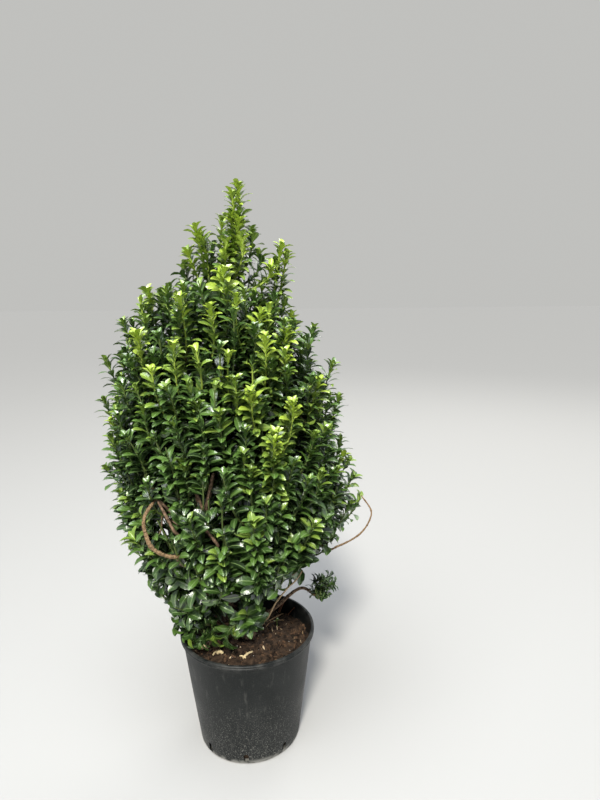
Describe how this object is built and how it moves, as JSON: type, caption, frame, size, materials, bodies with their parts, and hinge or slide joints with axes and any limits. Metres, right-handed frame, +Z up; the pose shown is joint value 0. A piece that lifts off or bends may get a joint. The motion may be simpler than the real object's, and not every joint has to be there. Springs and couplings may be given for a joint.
{
  "type": "potted japanese spindle",
  "caption": "Dense upright evergreen shrub with small glossy leaves in crossed pairs, in a round tapered plastic nursery pot filled with compost.",
  "frame": {"origin": "centre of the pot's flat underside, at the level of what it stands on", "axes": "+Z up the plant, +Y away from the viewer of the picture, +X to the viewer's right"},
  "size_m": [0.4331, 0.3662, 0.9111],
  "materials": {
    "pot": "matte black moulded plastic, scuffed and dusty",
    "compost": "moist dark brown bark compost with pale chips",
    "bark": "grey brown corky bark, greener on young shoots",
    "leaves": "small glossy dark green leaves, lime green at the shoot tips"
  },
  "bodies": {
    "root": {"pot": "pot", "compost": "compost", "trunk": "bark", "bough_skirt_1": "bark", "bough_skirt_2": "bark", "bough_skirt_3": "bark", "bough_skirt_4": "bark", "bough_belly_1": "bark", "bough_belly_2": "bark", "bough_belly_3": "bark", "bough_belly_4": "bark", "bough_belly_5": "bark", "bough_belly_6": "bark", "bough_shoulder_1": "bark", "bough_shoulder_2": "bark", "bough_shoulder_3": "bark", "bough_shoulder_4": "bark", "bough_shoulder_5": "bark", "bough_crest_1": "bark", "bough_crest_2": "bark", "bough_crest_3": "bark", "bough_crest_4": "bark", "bough_spire_1": "bark", "bough_sprig": "bark", "foliage_skirt_1": "leaves", "foliage_skirt_2": "leaves", "foliage_skirt_3": "leaves", "foliage_skirt_4": "leaves", "foliage_belly_1": "leaves", "foliage_belly_2": "leaves", "foliage_belly_3": "leaves", "foliage_belly_4": "leaves", "foliage_belly_5": "leaves", "foliage_belly_6": "leaves", "foliage_shoulder_1": "leaves", "foliage_shoulder_2": "leaves", "foliage_shoulder_3": "leaves", "foliage_shoulder_4": "leaves", "foliage_shoulder_5": "leaves", "foliage_crest_1": "leaves", "foliage_crest_2": "leaves", "foliage_crest_3": "leaves", "foliage_crest_4": "leaves", "foliage_spire_1": "leaves", "foliage_sprig": "leaves"}
  },
  "joints": []
}
